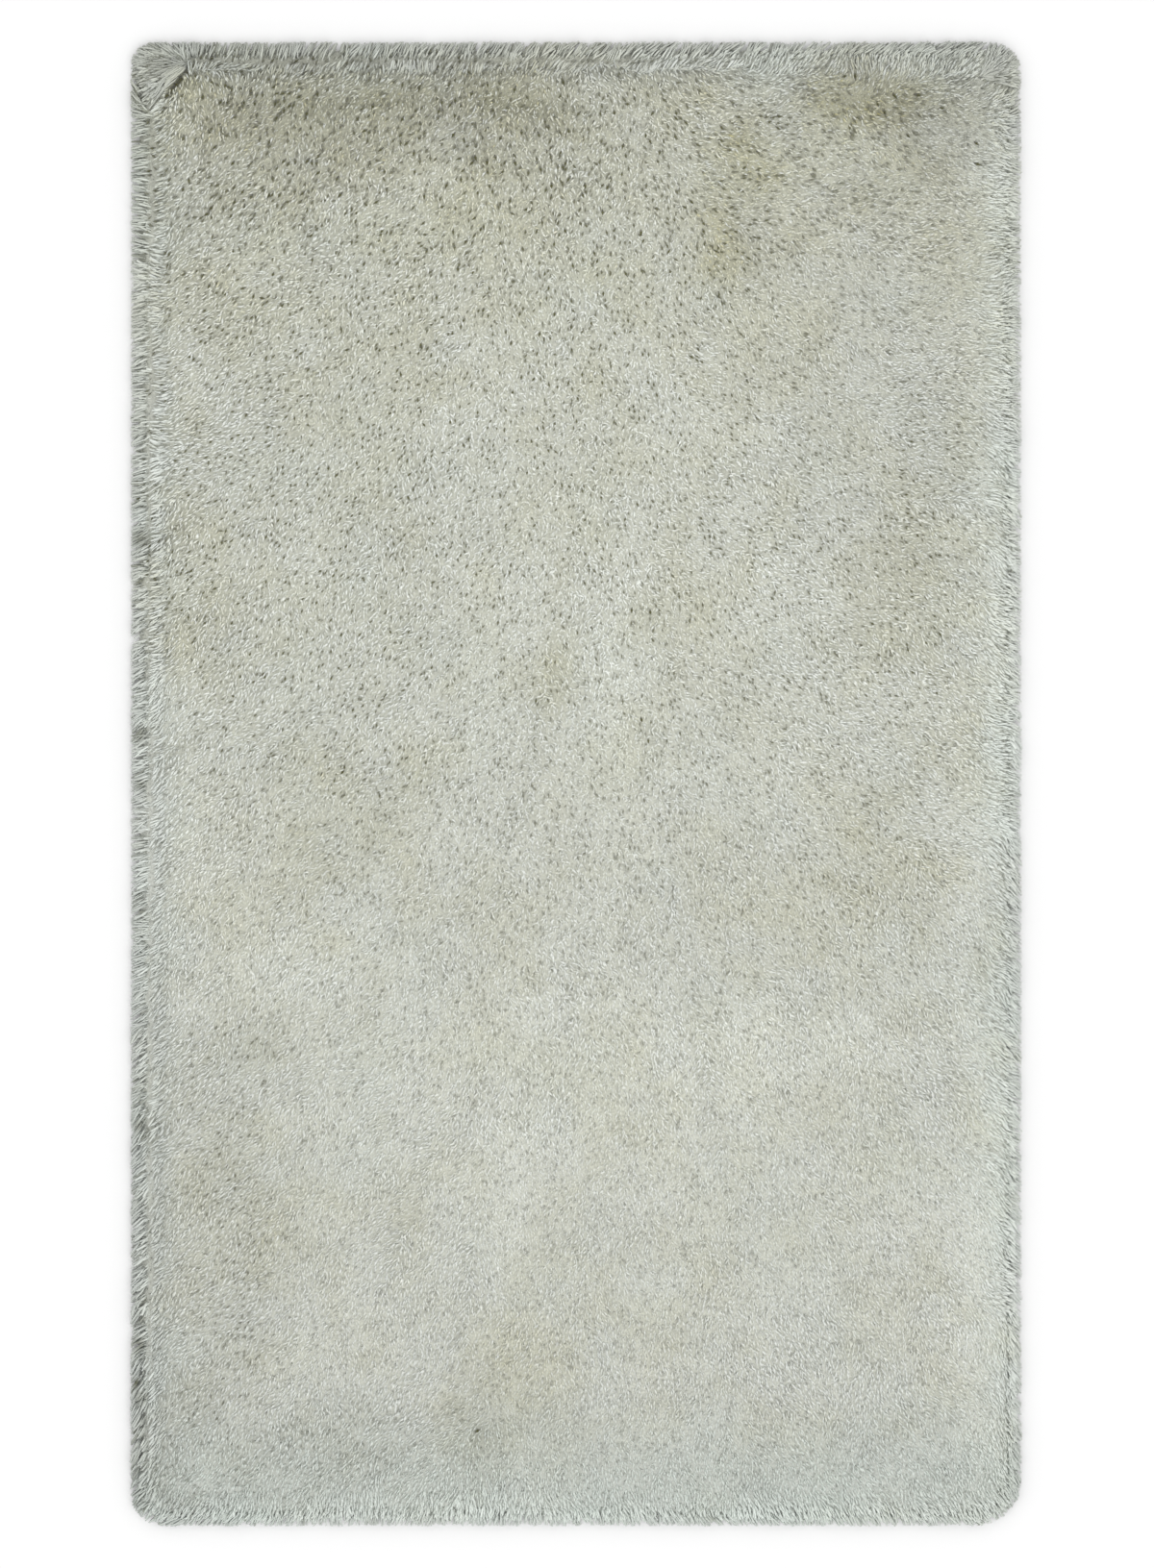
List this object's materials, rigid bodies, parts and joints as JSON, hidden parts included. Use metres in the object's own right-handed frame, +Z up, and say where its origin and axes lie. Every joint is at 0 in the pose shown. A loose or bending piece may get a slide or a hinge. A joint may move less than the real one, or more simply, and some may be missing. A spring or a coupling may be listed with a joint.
{
  "type": "shag rug",
  "caption": "Rectangular shag rug with rounded corners, lying flat: a lumpy slab of long cut pile with yarn locks splayed out all round its rim.",
  "frame": {"origin": "middle of the flat underside", "axes": "+X across the rug, +Y along it towards the end with the more tousled pile, +Z up out of the pile"},
  "size_m": [0.914, 1.524, 0.032],
  "materials": {
    "pile_yarn": "matt cut-pile wool yarn, undyed off-white with a faint grey-green cast, a little soiled"
  },
  "bodies": {
    "root": {"shag_rug": "pile_yarn"}
  },
  "joints": []
}
